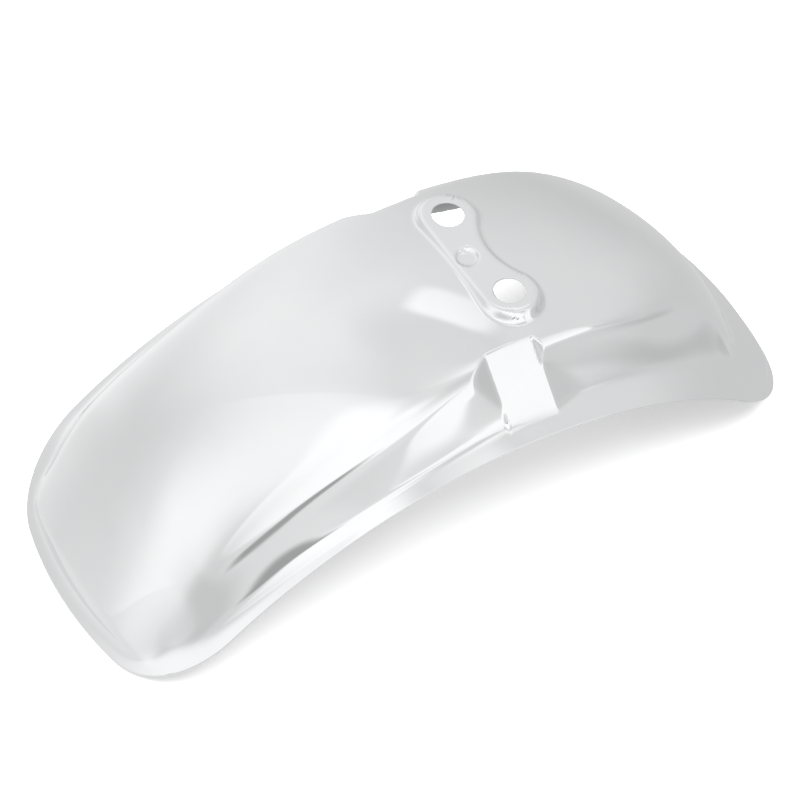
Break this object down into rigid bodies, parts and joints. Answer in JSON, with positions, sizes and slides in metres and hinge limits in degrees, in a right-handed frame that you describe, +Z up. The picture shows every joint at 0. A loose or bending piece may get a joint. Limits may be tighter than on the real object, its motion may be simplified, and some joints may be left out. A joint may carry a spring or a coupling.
{
  "type": "motorcycle front mudguard",
  "caption": "Arched front mudguard pressed from chromed sheet, with a turned-out lip, a boss with bolt holes across its crown and flat-faced side blisters.",
  "frame": {"origin": "centre of the bounding box in plan, on the level that the edges of both ends stand on", "axes": "+X forward along the wheel, +Y across the wheel, +Z up, away from the tyre"},
  "size_m": [0.4768, 0.1944, 0.1575],
  "materials": {
    "chromed_sheet": "bright chrome plate on pressed steel"
  },
  "bodies": {
    "root": {"mudguard": "chromed_sheet"}
  },
  "joints": []
}
